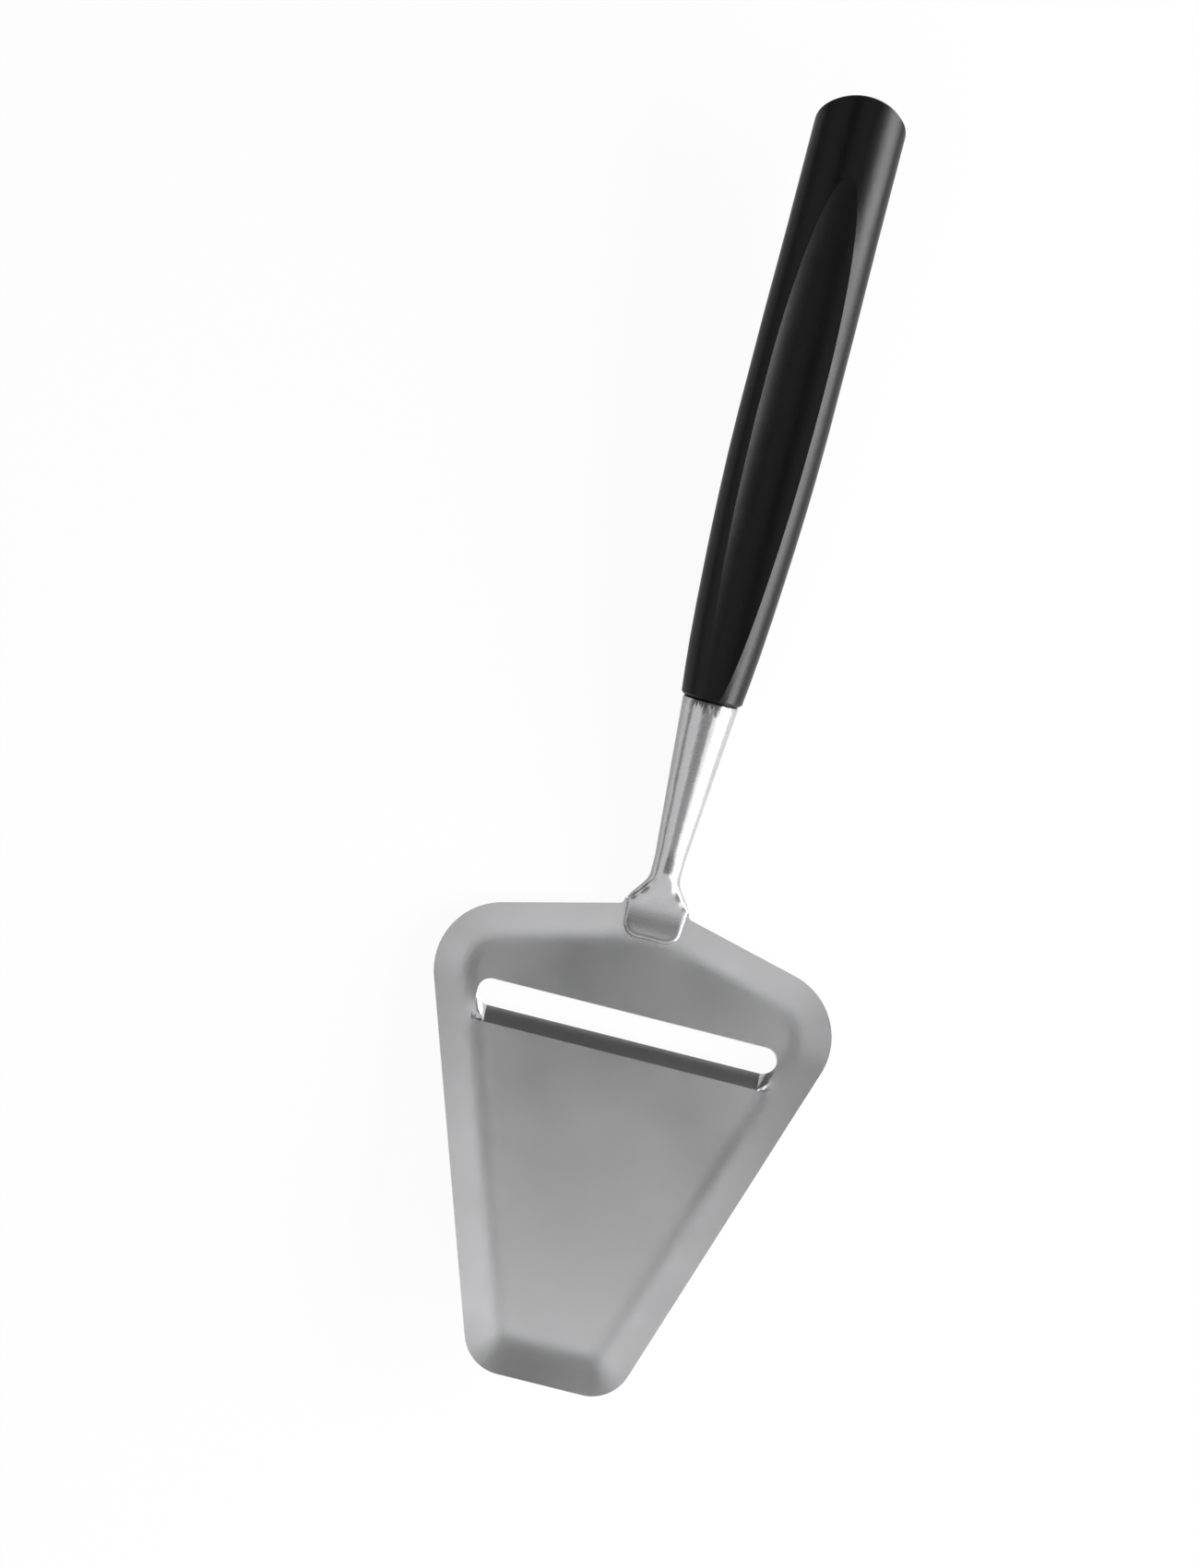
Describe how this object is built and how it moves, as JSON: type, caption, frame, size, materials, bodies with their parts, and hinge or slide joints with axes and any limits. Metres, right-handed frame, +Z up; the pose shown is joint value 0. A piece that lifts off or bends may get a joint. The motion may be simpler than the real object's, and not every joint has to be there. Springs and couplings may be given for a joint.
{
  "type": "cheese slicer",
  "caption": "Hand cheese slicer: a dished, slotted steel blade with a bent cutting lip, a forged neck that flares into a welded paddle, and a black moulded handle with a thumb scoop.",
  "frame": {"origin": "on the table that the slicer lies on, under the middle of its box", "axes": "+X across the blade, +Y along the tool from the blade towards the handle's butt, +Z up, square to the table"},
  "size_m": [0.0776, 0.2496, 0.0218],
  "materials": {
    "blade_steel": "satin",
    "neck_steel": "satin",
    "weld_steel": "dull",
    "handle_black": "matte"
  },
  "bodies": {
    "root": {"blade": "blade_steel", "neck": "neck_steel", "spot_welds": "weld_steel", "handle": "handle_black"}
  },
  "joints": []
}
